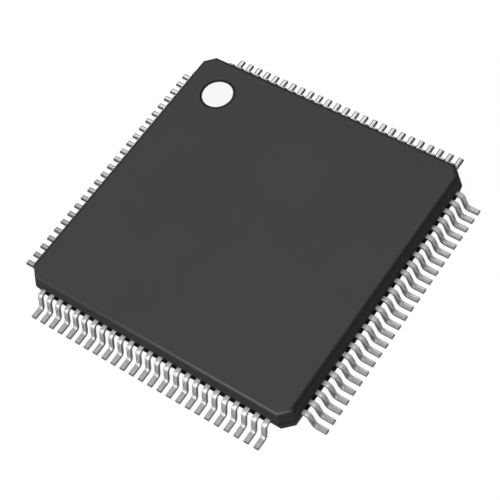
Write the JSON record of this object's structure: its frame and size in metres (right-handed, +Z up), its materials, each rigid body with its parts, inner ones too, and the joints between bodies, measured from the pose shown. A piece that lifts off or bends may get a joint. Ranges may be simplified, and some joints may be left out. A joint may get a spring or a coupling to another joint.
{
  "type": "quad flat pack chip",
  "caption": "Square surface-mount chip in a thin black moulded package with gull-wing leads along all four sides and a white pin-one dot.",
  "frame": {"origin": "middle of the seating plane, under the middle of the body", "axes": "+Z up out of the top face; -X is the side of pins 1 to 25, with pin 1 at its +Y end; -Y is the side of pins 26 to 50"},
  "size_m": [0.0162, 0.0162, 0.0015],
  "materials": {
    "mould_compound": "fine matte moulding, epoxy filled with silica",
    "white_ink": "flat white marking ink",
    "tin_plate": "satin matte tin over copper alloy",
    "leadframe_copper": "bare copper alloy",
    "silver_glue": "cured silver-filled epoxy",
    "silicon": "polished silicon",
    "polyimide_tape": "amber film",
    "gold_wire": "bright drawn gold"
  },
  "bodies": {
    "root": {"moulded_body": "mould_compound", "pin_one_dot": "white_ink", "die_pad": "leadframe_copper", "die_glue": "silver_glue", "silicon_die": "silicon", "lead_tape": "polyimide_tape", "leads_1_to_5": "tin_plate", "leads_6_to_10": "tin_plate", "leads_11_to_15": "tin_plate", "leads_16_to_20": "tin_plate", "leads_21_to_25": "tin_plate", "leads_26_to_30": "tin_plate", "leads_31_to_35": "tin_plate", "leads_36_to_40": "tin_plate", "leads_41_to_45": "tin_plate", "leads_46_to_50": "tin_plate", "leads_51_to_55": "tin_plate", "leads_56_to_60": "tin_plate", "leads_61_to_65": "tin_plate", "leads_66_to_70": "tin_plate", "leads_71_to_75": "tin_plate", "leads_76_to_80": "tin_plate", "leads_81_to_85": "tin_plate", "leads_86_to_90": "tin_plate", "leads_91_to_95": "tin_plate", "leads_96_to_100": "tin_plate", "bond_wires_1_to_5": "gold_wire", "bond_wires_6_to_10": "gold_wire", "bond_wires_11_to_15": "gold_wire", "bond_wires_16_to_20": "gold_wire", "bond_wires_21_to_25": "gold_wire", "bond_wires_26_to_30": "gold_wire", "bond_wires_31_to_35": "gold_wire", "bond_wires_36_to_40": "gold_wire", "bond_wires_41_to_45": "gold_wire", "bond_wires_46_to_50": "gold_wire", "bond_wires_51_to_55": "gold_wire", "bond_wires_56_to_60": "gold_wire", "bond_wires_61_to_65": "gold_wire", "bond_wires_66_to_70": "gold_wire", "bond_wires_71_to_75": "gold_wire", "bond_wires_76_to_80": "gold_wire", "bond_wires_81_to_85": "gold_wire", "bond_wires_86_to_90": "gold_wire", "bond_wires_91_to_95": "gold_wire", "bond_wires_96_to_100": "gold_wire"}
  },
  "joints": []
}
